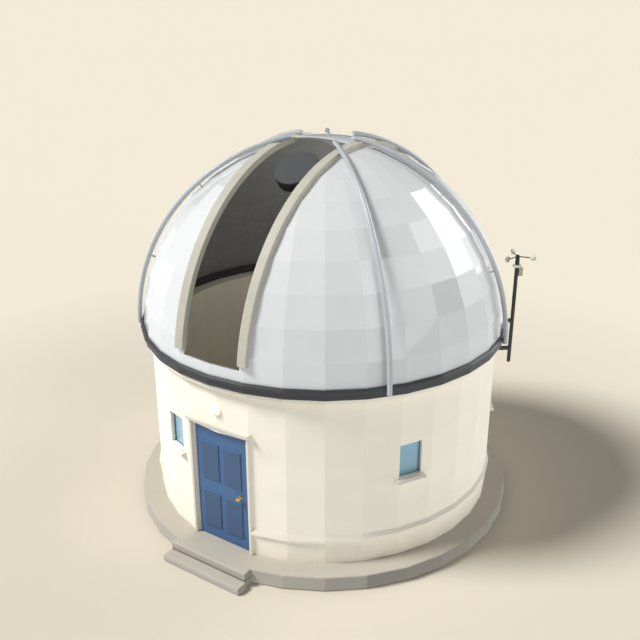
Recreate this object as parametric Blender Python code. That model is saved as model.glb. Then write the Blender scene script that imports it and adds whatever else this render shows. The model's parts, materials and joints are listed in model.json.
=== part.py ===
"""Small observatory: a round plastered drum on a stone plinth, under a rotating slit dome.

Metres, +Z up. The origin is on the ground at the centre of the plinth. The door and the
dome's slit face -Y. Azimuths are in degrees from -Y, growing towards +X.
"""

import bmesh
import bpy
from math import asin, cos, degrees, pi, radians, sin, sqrt
from mathutils import Matrix, Vector

# Driving dimensions
FACETS = 32
FACET = 360.0 / FACETS
GAP = 0.0003
RUN = 0.007

GROUND = 0.0
FLOOR = 0.26
STEP_TOP = 0.126
PLINTH_RADIUS = 3.38

WALL_RADIUS = 3.015
WALL_THICKNESS = 0.24
WALL_TOP = 3.14
PLATE_TOP = 3.20
PLATE_RADIUS = 3.12
RAIL_TOP = 3.2127
COURSE_TOP = 0.77
COURSE_RADIUS = 3.054

RING_BOTTOM = 3.213
RING_TOP = 3.383
FLANGE_RADIUS = 3.19
RING_INNER = 2.985
RING_LIP = 3.350

DOME_RADIUS = 3.134
DOME_CENTRE = 3.276
DOME_SHEET = 0.04
ROW = 9.0

DOOR_HALF = 0.515
DOOR_HEAD = 2.338
LEAF_HALF = 0.507
LEAF_FACE = -2.93
LEAF_THICKNESS = 0.05
LEAF_BOTTOM = 0.268
LEAF_TOP = 2.33
JAMB_OUTER = 0.60
JAMB_STEP = 0.55
JAMB_FACE = -2.997
FRAME_FACE = -2.935
LINTEL_HALF = 0.63
LINTEL_LOW = 2.406
LINTEL_HIGH = 2.47
LINTEL_FACE = -3.045

WINDOW_AZIMUTHS = (-20.0, 60.0, 120.0, 180.0, -120.0)
WINDOW_HALF = 0.20
WINDOW_SILL = 1.67
WINDOW_HEAD = 2.255
PANE_FACE = 2.93
PANE_THICKNESS = 0.012
SILL_HALF = 0.262
SILL_REACH = 3.078

SLIT_HALF = 0.526
SLIT_BOTTOM = 5.0
SLIT_END = 91.1
BEAM_WIDTH = 0.158
BEAM_OUTER = 3.125
BEAM_INNER = 3.02
BEAM_START = 6.6

SHUTTER_INNER = 3.143
SHUTTER_OUTER = 3.166
SHUTTER_HALF = 0.520
SHUTTER_FRONT = 88.0
SHUTTER_REAR = 176.4

RIB_AZIMUTHS = (50.625, 101.25, 151.875)
RIB_CENTRE = 3.2133
RIB_RADIUS = 0.040
RIB_TOP = 80.3

MAST_AZIMUTH = 129.375
MAST_REACH = 3.446
MAST_RADIUS = 0.034
MAST_BOTTOM = 2.21
MAST_TOP = 4.08
CUP_HEIGHT = 4.265
CUP_REACH = 0.270
CUP_RADIUS = 0.054
CUP_ANGLE = 14.0
HUB_RADIUS = 0.038
COLLAR_RADIUS = 0.088

PIVOT_Y = 0.253
PIVOT_Z = 4.378
SCOPE_ALTITUDE = 58.0
SCOPE_FRONT = 2.0
SCOPE_BACK = 0.75
TUBE_RADIUS = 0.32
SHIELD_RADIUS = 0.375
SHIELD_LENGTH = 0.15
CAP_THICKNESS = 0.04
PIER_TOP = 3.19


def clear_scene():
    for item in list(bpy.data.objects):
        bpy.data.objects.remove(item, do_unlink=True)


def new_collection(name):
    group = bpy.data.collections.new(name)
    bpy.context.scene.collection.children.link(group)
    return group


def material(name, colour, roughness, metallic=0.0):
    finish = bpy.data.materials.new(name)
    finish.use_nodes = True
    shader = finish.node_tree.nodes["Principled BSDF"]
    shader.inputs["Base Color"].default_value = (*colour, 1.0)
    shader.inputs["Roughness"].default_value = roughness
    shader.inputs["Metallic"].default_value = metallic
    return finish


def polar(radius, azimuth, z):
    angle = radians(azimuth)
    return Vector((radius * sin(angle), -radius * cos(angle), z))


def turn(azimuth):
    """Rotation that carries the -Y side of a piece to an azimuth."""
    return Matrix.Rotation(radians(azimuth), 4, "Z")


class Workshop:
    """Makes objects in the part's collection, and cutters in one of their own."""

    def __init__(self):
        self.part = new_collection("observatory")
        self.cutters = new_collection("cutters")

    def add(self, name, bm, finish=None):
        bmesh.ops.recalc_face_normals(bm, faces=bm.faces)
        mesh = bpy.data.meshes.new(name)
        bm.to_mesh(mesh)
        bm.free()
        item = bpy.data.objects.new(name, mesh)
        if finish is None:
            self.cutters.objects.link(item)
            item.hide_render = True
            item.display_type = "WIRE"
        else:
            self.part.objects.link(item)
            mesh.materials.append(finish)
        return item

    def boolean(self, item, cutter, operation="DIFFERENCE"):
        step = item.modifiers.new(operation.lower(), "BOOLEAN")
        step.operation = operation
        step.solver = "EXACT"
        step.object = cutter

    def smooth(self, item, limit=30.0):
        item.data.shade_smooth()
        item.data.set_sharp_from_angle(angle=radians(limit))


def box(low, high, matrix=None):
    bm = bmesh.new()
    bmesh.ops.create_cube(bm, size=1.0)
    size = [b - a for a, b in zip(low, high)]
    middle = [(a + b) / 2 for a, b in zip(low, high)]
    bmesh.ops.scale(bm, vec=size, verts=bm.verts)
    bmesh.ops.translate(bm, vec=middle, verts=bm.verts)
    if matrix is not None:
        bmesh.ops.transform(bm, matrix=matrix, verts=bm.verts)
    return bm


def cylinder(radius, start, end, sides=32, top_radius=None):
    """A round bar from start to end."""
    start, end = Vector(start), Vector(end)
    bm = bmesh.new()
    bmesh.ops.create_cone(
        bm,
        cap_ends=True,
        segments=sides,
        radius1=radius,
        radius2=radius if top_radius is None else top_radius,
        depth=(end - start).length,
    )
    place = (end - start).to_track_quat("Z", "Y").to_matrix().to_4x4()
    bmesh.ops.transform(bm, matrix=Matrix.Translation((start + end) / 2) @ place, verts=bm.verts)
    return bm


def swept(profile, start, end, steps, axis="Z", centre=(0.0, 0.0, 0.0)):
    """A closed (radius, height) profile turned from one azimuth to another.

    About Z the profile starts at -Y. About X it starts at -Y too and rises over the top,
    and the profile's second number is then x.
    """
    bm = bmesh.new()
    if axis == "Z":
        points = [(0.0, -radius, height) for radius, height in profile]
    else:
        points = [(height, -radius, 0.0) for radius, height in profile]
    verts = [bm.verts.new(point) for point in points]
    edges = [bm.edges.new((a, b)) for a, b in zip(verts, verts[1:] + verts[:1])]
    whole = abs(end - start - 360.0) < 1e-6
    line = Vector((0.0, 0.0, 1.0)) if axis == "Z" else Vector((-1.0, 0.0, 0.0))
    begin = Matrix.Rotation(radians(start), 4, line)
    bmesh.ops.transform(bm, matrix=begin, verts=bm.verts)
    bmesh.ops.spin(
        bm,
        geom=verts + edges,
        axis=line,
        cent=(0.0, 0.0, 0.0),
        angle=radians(end - start),
        steps=steps,
        use_merge=whole,
    )
    bmesh.ops.remove_doubles(bm, verts=bm.verts, dist=1e-5)
    rims = [edge for edge in bm.edges if edge.is_boundary]
    if rims:
        bmesh.ops.holes_fill(bm, edges=rims, sides=0)
    bmesh.ops.translate(bm, vec=centre, verts=bm.verts)
    return bm


def facet_ring(profile, first=0.0, last=360.0):
    """A ring of flat facets about the building's axis."""
    return swept(profile, first, last, round((last - first) / FACET))


def drum(radius, low, high):
    """A solid 32-sided drum with a corner on -Y."""
    bm = bmesh.new()
    bmesh.ops.create_cone(
        bm, cap_ends=True, segments=FACETS, radius1=radius, radius2=radius, depth=high - low
    )
    bmesh.ops.translate(bm, vec=(0.0, 0.0, (low + high) / 2), verts=bm.verts)
    return bm


def build_ground_works(shop, stone):
    plinth = shop.add("plinth", drum(PLINTH_RADIUS, GROUND, FLOOR), stone)
    around = shop.add("cut_plinth", drum(PLINTH_RADIUS + GAP, GROUND - 0.1, FLOOR + 0.1))
    landing_front = -3.43
    landing = shop.add(
        "landing_slab", box((-0.745, landing_front, GROUND), (0.795, -3.2, FLOOR)), stone
    )
    shop.boolean(landing, around)
    step = box((-0.745, -3.64, GROUND), (0.83, landing_front - GAP, STEP_TOP))
    shop.add("entrance_step", step, stone)
    return plinth


def build_walls(shop, plaster):
    inner = WALL_RADIUS - WALL_THICKNESS
    profile = [
        (WALL_RADIUS, WALL_TOP),
        (WALL_RADIUS, FLOOR + GAP),
        (inner, FLOOR + GAP),
        (inner, WALL_TOP),
    ]
    joint = degrees(GAP / 2 / WALL_RADIUS)
    edges = (FACET, 90.0, 146.25, 213.75, 281.25, 360.0 - FACET)
    doorway = shop.add(
        "cut_doorway",
        box((-JAMB_OUTER - GAP, -3.3, 0.0), (JAMB_OUTER + GAP, -2.4, DOOR_HEAD + GAP)),
    )
    names = ("right_front", "right", "back", "left", "left_front")
    for name, first, last in zip(names, edges, edges[1:]):
        steps = round((last - first) / FACET)
        bm = swept(profile, first + joint, last - joint, steps)
        wall = shop.add("wall_" + name, bm, plaster)
        if name in ("right_front", "left_front"):
            shop.boolean(wall, doorway)
        for azimuth in WINDOW_AZIMUTHS:
            if first < azimuth % 360.0 < last:
                shop.boolean(wall, window_cutter(shop, azimuth))
    head = [(WALL_RADIUS, WALL_TOP), (WALL_RADIUS, DOOR_HEAD + GAP)]
    head += [(inner, DOOR_HEAD + GAP), (inner, WALL_TOP)]
    over = swept(head, joint - FACET, FACET - joint, 2)
    shop.add("wall_over_door", over, plaster)


def window_cutter(shop, azimuth):
    low = (-WINDOW_HALF, -3.3, WINDOW_SILL)
    high = (WINDOW_HALF, -2.4, WINDOW_HEAD)
    return shop.add(f"cut_window_{azimuth:.0f}", box(low, high, turn(azimuth)))


def build_windows(shop, glass, stone):
    outside = shop.add("cut_outside", drum(WALL_RADIUS + GAP, 1.0, 3.0))
    places = ("by_door", "right", "right_back", "back", "left_back")
    for place, azimuth in zip(places, WINDOW_AZIMUTHS):
        pane = box(
            (-WINDOW_HALF + GAP, -PANE_FACE, WINDOW_SILL + GAP),
            (WINDOW_HALF - GAP, -PANE_FACE + PANE_THICKNESS, WINDOW_HEAD - GAP),
            turn(azimuth),
        )
        shop.add("window_pane_" + place, pane, glass)
        sill_low = (-SILL_HALF, -SILL_REACH, WINDOW_SILL - 0.06)
        sill_high = (SILL_HALF, -2.7, WINDOW_SILL - GAP)
        sill_box = box(sill_low, sill_high)
        for vert in sill_box.verts:
            if vert.co.y < -3.0 and vert.co.z > WINDOW_SILL - 0.03:
                vert.co.z -= 0.012
        bmesh.ops.transform(sill_box, matrix=turn(azimuth), verts=sill_box.verts)
        sill = shop.add("window_sill_" + place, sill_box, stone)
        shop.boolean(sill, outside)


def build_trim(shop, plaster):
    face = WALL_RADIUS + GAP
    course = [
        (face, COURSE_TOP),
        (COURSE_RADIUS, COURSE_TOP - 0.07),
        (COURSE_RADIUS, COURSE_TOP - 0.11),
        (face, COURSE_TOP - 0.125),
    ]
    band = shop.add("string_course", facet_ring(course, FACET, 360.0 - FACET), plaster)
    shop.boolean(band, bpy.data.objects["cut_doorway"])
    inner = WALL_RADIUS - WALL_THICKNESS
    plate = [
        (PLATE_RADIUS, PLATE_TOP),
        (PLATE_RADIUS, WALL_TOP + GAP),
        (inner, WALL_TOP + GAP),
        (inner, PLATE_TOP),
    ]
    shop.add("wall_plate", facet_ring(plate), plaster)


def build_rail(shop, steel):
    rail = [
        (3.09, RAIL_TOP),
        (3.09, PLATE_TOP + GAP),
        (3.01, PLATE_TOP + GAP),
        (3.01, RAIL_TOP),
    ]
    shop.add("track_rail", facet_ring(rail), steel)


def build_doorway(shop, plaster, blue, brass, lamp_white):
    """Stepped jambs, whose outer strips run up the wall's face to a straight lintel bar."""
    depth = -sqrt((WALL_RADIUS - WALL_THICKNESS) ** 2 - JAMB_OUTER**2)
    wall_face = shop.add("cut_over_door", drum(WALL_RADIUS + GAP, DOOR_HEAD, WALL_TOP))
    for side, name in ((-1.0, "left"), (1.0, "right")):
        near, far = sorted((side * DOOR_HALF, side * JAMB_OUTER))
        post = box((near, JAMB_FACE, FLOOR + GAP), (far, depth, LINTEL_LOW - GAP))
        jamb = shop.add("door_jamb_" + name, post, plaster)
        near, far = sorted((side * (DOOR_HALF - 0.1), side * JAMB_STEP))
        rebate = box((near, JAMB_FACE - 0.1, GROUND), (far, FRAME_FACE, WALL_TOP))
        shop.boolean(jamb, shop.add("cut_rebate_" + name, rebate))
        shop.boolean(jamb, wall_face)
    low = (-LINTEL_HALF, LINTEL_FACE, LINTEL_LOW)
    high = (LINTEL_HALF, LINTEL_FACE + 0.3, LINTEL_HIGH)
    lintel = shop.add("door_lintel", box(low, high), plaster)
    shop.boolean(lintel, wall_face)
    build_door_leaf(shop, blue, brass)
    lamp_z = 2.74
    lamp = cylinder(0.10, (0.0, -WALL_RADIUS - GAP, lamp_z), (0.0, -3.085, lamp_z), 24, 0.07)
    shop.smooth(shop.add("wall_lamp", lamp, lamp_white), 50.0)


def build_door_leaf(shop, blue, brass):
    back = LEAF_FACE + LEAF_THICKNESS
    leaf = box((-LEAF_HALF, LEAF_FACE, LEAF_BOTTOM), (LEAF_HALF, back, LEAF_TOP))
    door = shop.add("door_leaf", leaf, blue)
    raised = 0.030
    bevel = 0.012
    for row, (low, high) in enumerate(((0.455, 1.135), (1.365, 2.045))):
        for side, column in ((-1.0, "left"), (1.0, "right")):
            middle = side * 0.2225
            near, far = middle - 0.1725, middle + 0.1725
            panel = box((near, LEAF_FACE - raised, low), (far, back - 0.01, high))
            for vert in panel.verts:
                if vert.co.y < LEAF_FACE:
                    vert.co.x += bevel if vert.co.x < middle else -bevel
                    vert.co.z += bevel if vert.co.z < (low + high) / 2 else -bevel
            shop.boolean(door, shop.add(f"add_panel_{row}_{column}", panel), "UNION")
    pin_x, pin_y = hinge_line()
    for count, z in enumerate((0.50, 1.30, 2.10)):
        barrel = cylinder(0.0067, (pin_x, pin_y, z), (pin_x, pin_y, z + 0.1), 16)
        shop.boolean(door, shop.add(f"add_barrel_{count}", barrel), "UNION")
    knob_x, knob_z = 0.360, 1.235
    front = LEAF_FACE - GAP
    knob = cylinder(0.030, (knob_x, front, knob_z), (knob_x, front - 0.008, knob_z), 24)
    knob_body = shop.add("door_knob", knob, brass)
    stem = cylinder(0.014, (knob_x, front - 0.002, knob_z), (knob_x, front - 0.05, knob_z), 16)
    shop.boolean(knob_body, shop.add("add_stem", stem), "UNION")
    ball = bmesh.new()
    bmesh.ops.create_uvsphere(ball, u_segments=20, v_segments=12, radius=0.040)
    bmesh.ops.translate(ball, vec=(knob_x, front - 0.065, knob_z), verts=ball.verts)
    shop.boolean(knob_body, shop.add("add_ball", ball), "UNION")


def hinge_line():
    """The door's vertical pin line, at the left edge of the leaf's inner face."""
    return -DOOR_HALF + 0.007, LEAF_FACE + LEAF_THICKNESS + 0.002


def build_base_ring(shop, dark):
    """A channel that the dome's foot stands in, with a flange and a skirt outside."""
    seat = DOME_RADIUS + 3 * GAP
    profile = [
        (seat, RING_TOP),
        (3.150, RING_TOP),
        (FLANGE_RADIUS, 3.356),
        (FLANGE_RADIUS, 3.318),
        (3.158, 3.300),
        (3.158, RING_BOTTOM),
        (RING_INNER, RING_BOTTOM),
        (RING_INNER, RING_LIP),
        (RING_INNER + 0.05, RING_LIP),
        (RING_INNER + 0.05, DOME_CENTRE - GAP),
        (seat, DOME_CENTRE - GAP),
    ]
    shop.add("base_ring", facet_ring(profile), dark)


def shell_profile(top):
    """The shell's closed outline from its foot up to a row, outside and then inside."""
    rows = [ROW * index for index in range(top + 1)]
    inner = DOME_RADIUS - DOME_SHEET
    outside = [(DOME_RADIUS * cos(radians(t)), DOME_RADIUS * sin(radians(t))) for t in rows]
    inside = [(inner * cos(radians(t)), inner * sin(radians(t))) for t in reversed(rows)]
    return [(radius, DOME_CENTRE + height) for radius, height in outside + inside]


def build_dome(shop, white):
    """Two gores each side, and a strip at the back between the beams."""
    joint = degrees(GAP / 2 / DOME_RADIUS)
    slit = shop.add("cut_slit", slit_wedge())
    outer = SLIT_HALF + BEAM_WIDTH + GAP
    for side, name in ((1.0, "right"), (-1.0, "left")):
        front_span = sorted((side * joint, side * (90.0 - joint)))
        back_span = sorted((side * (90.0 + joint), side * 180.0))
        front = shop.add(f"dome_{name}_front", facet_ring(shell_profile(9), *front_span), white)
        shop.boolean(front, slit)
        shop.boolean(front, beam_cutter(shop, name))
        back = shop.add(f"dome_{name}_back", facet_ring(shell_profile(9), *back_span), white)
        ends = sorted((side * outer, side * 4.0))
        keep = box((ends[0], -4.0, 2.0), (ends[1], 4.0, 8.0))
        shop.boolean(back, shop.add("keep_" + name, keep), "INTERSECT")
    half = outer - GAP
    strip = shop.add("dome_back_strip", facet_ring(shell_profile(10), 90.0, 270.0), white)
    middle = shop.add("keep_middle", box((-half, -1.0, 2.0), (half, 4.0, 8.0)))
    shop.boolean(strip, middle, "INTERSECT")
    shop.boolean(strip, slit)
    for side in ("left", "right"):
        shop.boolean(strip, beam_cutter(shop, side))


def slit_wedge():
    """Everything above the slit's sill, up and over to its rear end."""
    half = SLIT_HALF + 0.012
    outline = [(4.0, -half), (4.0, half), (1.0, half), (1.0, -half)]
    return swept(outline, SLIT_BOTTOM, SLIT_END, 12, "X", (0.0, 0.0, DOME_CENTRE))


def beam_solid(side, grow=0.0):
    sign = -1.0 if side == "left" else 1.0
    near, far = sign * (SLIT_HALF - grow), sign * (SLIT_HALF + BEAM_WIDTH + grow)
    profile = [
        (BEAM_OUTER + grow, near),
        (BEAM_OUTER + grow, far),
        (BEAM_INNER - grow, far),
        (BEAM_INNER - grow, near),
    ]
    slack = degrees(grow / BEAM_OUTER)
    start = BEAM_START - slack
    return swept(profile, start, 180.0 - start, 48, "X", (0.0, 0.0, DOME_CENTRE))


def beam_cutter(shop, side):
    name = "cut_beam_" + side
    found = bpy.data.objects.get(name)
    return found or shop.add(name, beam_solid(side, GAP))


def build_beams(shop, cream):
    for side in ("left", "right"):
        shop.add("arch_beam_" + side, beam_solid(side), cream)


def build_shutter(shop, white):
    """A curved sheet that runs between the beams, on four pins at its edges."""
    steps = 32
    across = 8
    reach = degrees(asin(SHUTTER_HALF / SHUTTER_INNER))
    outer = []
    inner = []
    for index in range(across + 1):
        tilt = radians(-reach + 2 * reach * index / across)
        aside = SHUTTER_INNER * sin(tilt)
        outer.append((SHUTTER_OUTER * cos(tilt), aside))
        inner.append((SHUTTER_INNER * cos(tilt), aside))
    profile = outer + inner[::-1]
    centre = Vector((0.0, 0.0, DOME_CENTRE))
    sheet = swept(profile, SHUTTER_FRONT, SHUTTER_REAR, steps, "X", centre)
    shutter = shop.add("slit_shutter", sheet, white)
    shop.smooth(shutter, 25.0)
    middle = (SHUTTER_INNER + SHUTTER_OUTER) / 2 * cos(radians(reach))
    for count, height in enumerate((96.0, 168.0)):
        place = centre + middle * Vector((0.0, -cos(radians(height)), sin(radians(height))))
        for side in (-1.0, 1.0):
            start = place + Vector((side * (SHUTTER_HALF - 0.02), 0.0, 0.0))
            end = place + Vector((side * (SLIT_HALF - GAP), 0.0, 0.0))
            pin = shop.add(f"add_pin_{count}_{side:.0f}", cylinder(0.008, start, end, 12))
            shop.boolean(shutter, pin, "UNION")


def build_ribs(shop, pipe_grey):
    beams = [beam_cutter(shop, side) for side in ("left", "right")]
    ring = shop.add("cut_ring", facet_ring(grown_ring_profile()))
    dome = shop.add("cut_dome", grown_dome())
    for side, name in ((1.0, "right"), (-1.0, "left")):
        for place, azimuth in zip(("front", "middle", "back"), RIB_AZIMUTHS):
            rib = pipe(shop, f"rib_{name}_{place}", side * azimuth, pipe_grey)
            for count, height in enumerate((22.5, 49.5)):
                foot = cylinder(
                    0.022,
                    sphere_point(DOME_RADIUS - 0.03, side * azimuth, height),
                    sphere_point(RIB_CENTRE, side * azimuth, height),
                    12,
                )
                shop.boolean(rib, shop.add(f"add_foot_{rib.name}_{count}", foot), "UNION")
            for cutter in beams + [ring, dome]:
                shop.boolean(rib, cutter)


def sphere_point(radius, azimuth, height):
    t = radians(height)
    return polar(radius * cos(t), azimuth, DOME_CENTRE + radius * sin(t))


def grown_ring_profile():
    return [
        (2.9, RING_TOP + GAP),
        (3.150 + GAP, RING_TOP + GAP),
        (FLANGE_RADIUS + GAP, 3.356 + GAP),
        (FLANGE_RADIUS + GAP, 3.318 - GAP),
        (3.158 + GAP, 3.300 - GAP),
        (3.158 + GAP, RING_BOTTOM - 0.05),
        (2.9, RING_BOTTOM - 0.05),
    ]


def grown_dome():
    rows = [ROW * index for index in range(-2, round(90.0 / ROW))]
    radius = DOME_RADIUS + GAP
    outline = [(radius * cos(radians(t)), DOME_CENTRE + radius * sin(radians(t))) for t in rows]
    outline += [(0.0, DOME_CENTRE + radius), (0.0, outline[0][1])]
    return facet_ring(outline)


def pipe(shop, name, azimuth, finish):
    """A bent pipe that follows a meridian of the dome."""
    curve = bpy.data.curves.new(name + "_route", "CURVE")
    curve.dimensions = "3D"
    curve.bevel_depth = RIB_RADIUS
    curve.bevel_resolution = 2
    curve.use_fill_caps = True
    steps = 27
    route = curve.splines.new("POLY")
    route.points.add(steps)
    for index, point in enumerate(route.points):
        place = sphere_point(RIB_CENTRE, azimuth, RIB_TOP * index / steps)
        point.co = (*place, 1.0)
    holder = bpy.data.objects.new(name + "_route", curve)
    bpy.context.scene.collection.objects.link(holder)
    depsgraph = bpy.context.evaluated_depsgraph_get()
    mesh = bpy.data.meshes.new_from_object(holder.evaluated_get(depsgraph))
    bpy.data.objects.remove(holder, do_unlink=True)
    bm = bmesh.new()
    bm.from_mesh(mesh)
    bpy.data.meshes.remove(mesh)
    bmesh.ops.remove_doubles(bm, verts=bm.verts, dist=1e-5)
    item = shop.add(name, bm, finish)
    shop.smooth(item, 40.0)
    return item


def mast_point(reach, z):
    return polar(reach, MAST_AZIMUTH, z)


def build_mast(shop, dark, white, tan):
    """The pole with its two welded brackets, the collar on top, and the sensor box."""
    foot, head = mast_point(MAST_REACH, MAST_BOTTOM), mast_point(MAST_REACH, MAST_TOP)
    mast = shop.add("wind_mast", cylinder(MAST_RADIUS, foot, head, 24), dark)
    shop.smooth(mast, 50.0)
    wall_face = WALL_RADIUS * cos(radians(FACET / 2)) + GAP
    for name, z in (("lower", 2.50), ("upper", 3.045)):
        low, high = (-0.025, -MAST_REACH, z - 0.033), (0.025, -wall_face, z + 0.033)
        arm = box(low, high, turn(MAST_AZIMUTH))
        shop.boolean(mast, shop.add("add_bracket_" + name, arm), "UNION")
    seat, top = mast_point(MAST_REACH, MAST_TOP + GAP), mast_point(MAST_REACH, MAST_TOP + 0.03)
    disc = shop.add("mast_collar", cylinder(COLLAR_RADIUS, seat, top, 24), white)
    shop.smooth(disc, 50.0)
    root, tip = mast_point(MAST_REACH, MAST_TOP + 0.01), mast_point(MAST_REACH, 4.22)
    pin = cylinder(0.008, root, tip, 24)
    shop.boolean(disc, shop.add("add_collar_pin", pin), "UNION")
    sensor = box(
        (-0.0325, -MAST_REACH - MAST_RADIUS - 0.075, 3.905),
        (0.0325, -MAST_REACH - MAST_RADIUS - GAP, 4.055),
        turn(MAST_AZIMUTH),
    )
    shop.add("weather_sensor", sensor, tan)
    build_cups(shop, dark)


def build_cups(shop, dark):
    """The wind gauge's rotor: a hub with three arms, each ending in a cup."""
    low = MAST_TOP + 0.036
    hub = cylinder(HUB_RADIUS, mast_point(MAST_REACH, low), mast_point(MAST_REACH, 4.30), 24)
    rotor = shop.add("cup_rotor", hub, dark)
    shop.smooth(rotor, 50.0)
    centre = mast_point(MAST_REACH, CUP_HEIGHT)
    for count in range(3):
        angle = radians(CUP_ANGLE + 120.0 * count)
        along = Vector((cos(angle), sin(angle), 0.0))
        arm = cylinder(0.009, centre, centre + along * CUP_REACH, 10)
        shop.boolean(rotor, shop.add(f"add_arm_{count}", arm), "UNION")
        cup = bmesh.new()
        bmesh.ops.create_uvsphere(cup, u_segments=14, v_segments=8, radius=CUP_RADIUS)
        bmesh.ops.translate(cup, vec=centre + along * CUP_REACH, verts=cup.verts)
        shop.boolean(rotor, shop.add(f"add_cup_{count}", cup), "UNION")
    under, over = mast_point(MAST_REACH, low - 0.01), mast_point(MAST_REACH, 4.2205)
    bore = cylinder(0.0086, under, over, 24)
    shop.boolean(rotor, shop.add("cut_rotor_bore", bore))


def build_telescope(shop, grey, dark, black, stone):
    """The pier, a fork that turns on its spindle, and the tube that tilts in the fork."""
    column = cylinder(0.22, (0.0, 0.0, FLOOR + GAP), (0.0, 0.0, PIER_TOP), 32)
    pier = shop.add("telescope_pier", column, stone)
    shop.smooth(pier, 50.0)
    spindle = cylinder(0.05, (0.0, 0.0, PIER_TOP - 0.1), (0.0, 0.0, 3.262), 32)
    shop.boolean(pier, shop.add("add_spindle", spindle), "UNION")
    deck_low = PIER_TOP + RUN
    deck = cylinder(0.55, (0.0, 0.0, deck_low), (0.0, 0.0, 3.29), 48)
    fork = shop.add("telescope_fork", deck, dark)
    bore = cylinder(0.0508, (0.0, 0.0, deck_low - 0.05), (0.0, 0.0, 3.2625), 32)
    shop.boolean(fork, shop.add("cut_fork_bore", bore))
    for side, name in ((-1.0, "left"), (1.0, "right")):
        ends = sorted((side * 0.345, side * 0.43))
        arm = box((ends[0], PIVOT_Y - 0.13, 3.26), (ends[1], PIVOT_Y + 0.13, PIVOT_Z + 0.13))
        shop.boolean(fork, shop.add("add_fork_arm_" + name, arm), "UNION")
        start, end = (side * 0.30, PIVOT_Y, PIVOT_Z), (side * 0.50, PIVOT_Y, PIVOT_Z)
        shop.boolean(fork, shop.add("cut_fork_eye_" + name, cylinder(0.0508, start, end, 32)))
    tilt = radians(SCOPE_ALTITUDE)
    along = Vector((0.0, -cos(tilt), sin(tilt)))
    middle = Vector((0.0, PIVOT_Y, PIVOT_Z))
    tube_end = middle + along * (SCOPE_FRONT - SHIELD_LENGTH - CAP_THICKNESS - GAP)
    barrel = cylinder(TUBE_RADIUS, middle - along * SCOPE_BACK, tube_end, 48)
    tube = shop.add("telescope_tube", barrel, grey)
    shop.smooth(tube, 50.0)
    reach = Vector((0.44, 0.0, 0.0))
    trunnion = cylinder(0.05, middle - reach, middle + reach, 32)
    shop.boolean(tube, shop.add("add_trunnion", trunnion), "UNION")
    shield_low = tube_end + along * GAP
    shield_high = shield_low + along * (SHIELD_LENGTH - GAP)
    shield = cylinder(SHIELD_RADIUS, shield_low, shield_high, 48)
    shop.smooth(shop.add("dew_shield", shield, black), 50.0)
    cap_face = middle + along * SCOPE_FRONT
    cap = cylinder(SHIELD_RADIUS - 0.004, shield_high + along * GAP, cap_face, 48)
    shop.smooth(shop.add("lens_cap", cap, dark), 50.0)


def build_joint_guides():
    """Empties that mark the joint axes, each with its Z along the axis."""
    pin_x, pin_y = hinge_line()
    marks = {
        "axis_dome": ((0.0, 0.0, RING_BOTTOM), (0.0, 0.0, 0.0)),
        "axis_shutter": ((0.0, 0.0, DOME_CENTRE), (0.0, pi / 2, 0.0)),
        "axis_door": ((pin_x, pin_y, LEAF_BOTTOM), (0.0, 0.0, 0.0)),
        "axis_cups": (tuple(mast_point(MAST_REACH, MAST_TOP)), (0.0, 0.0, 0.0)),
        "axis_telescope_turn": ((0.0, 0.0, PIER_TOP), (0.0, 0.0, 0.0)),
        "axis_telescope_tilt": ((0.0, PIVOT_Y, PIVOT_Z), (0.0, pi / 2, 0.0)),
    }
    for name, (place, angles) in marks.items():
        mark = bpy.data.objects.new(name, None)
        mark.location = place
        mark.rotation_euler = angles
        bpy.context.scene.collection.objects.link(mark)


def main():
    clear_scene()
    shop = Workshop()
    stone = material("plinth_stone", (0.52, 0.47, 0.38), 0.85)
    plaster = material("cream_plaster", (0.90, 0.86, 0.76), 0.80)
    glass = material("window_glass", (0.18, 0.42, 0.55), 0.15)
    blue = material("door_blue", (0.06, 0.16, 0.34), 0.45)
    brass = material("knob_brass", (0.75, 0.45, 0.12), 0.30, 1.0)
    lamp_white = material("lamp_white", (0.90, 0.90, 0.88), 0.40)
    steel = material("track_steel", (0.25, 0.25, 0.25), 0.40, 1.0)
    dark = material("ring_dark", (0.07, 0.075, 0.08), 0.55)
    white = material("dome_white", (0.80, 0.82, 0.82), 0.25)
    cream = material("beam_cream", (0.72, 0.65, 0.53), 0.60)
    pipe_grey = material("rib_grey", (0.38, 0.43, 0.47), 0.35, 0.3)
    tan = material("sensor_tan", (0.60, 0.50, 0.40), 0.60)
    tube_grey = material("tube_grey", (0.38, 0.37, 0.33), 0.45)
    cap_grey = material("cap_grey", (0.12, 0.12, 0.125), 0.50)
    black = material("shield_black", (0.02, 0.021, 0.022), 0.50)
    build_ground_works(shop, stone)
    build_walls(shop, plaster)
    build_windows(shop, glass, stone)
    build_trim(shop, plaster)
    build_rail(shop, steel)
    build_doorway(shop, plaster, blue, brass, lamp_white)
    build_base_ring(shop, dark)
    build_dome(shop, white)
    build_beams(shop, cream)
    build_shutter(shop, white)
    build_ribs(shop, pipe_grey)
    build_mast(shop, dark, lamp_white, tan)
    build_telescope(shop, tube_grey, cap_grey, black, stone)
    build_joint_guides()


main()
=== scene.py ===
"""Looks of a small observatory: plastered drum, stone plinth, slit dome and telescope.

Metres, +Z up, origin on the ground. The door and the slit face -Y at rest. Azimuths are in
degrees from -Y, growing towards +X.
"""

import bmesh
import bpy
import json
from math import asin, cos, degrees, pi, radians, sin, sqrt, tan
from mathutils import Matrix, Vector

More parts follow.
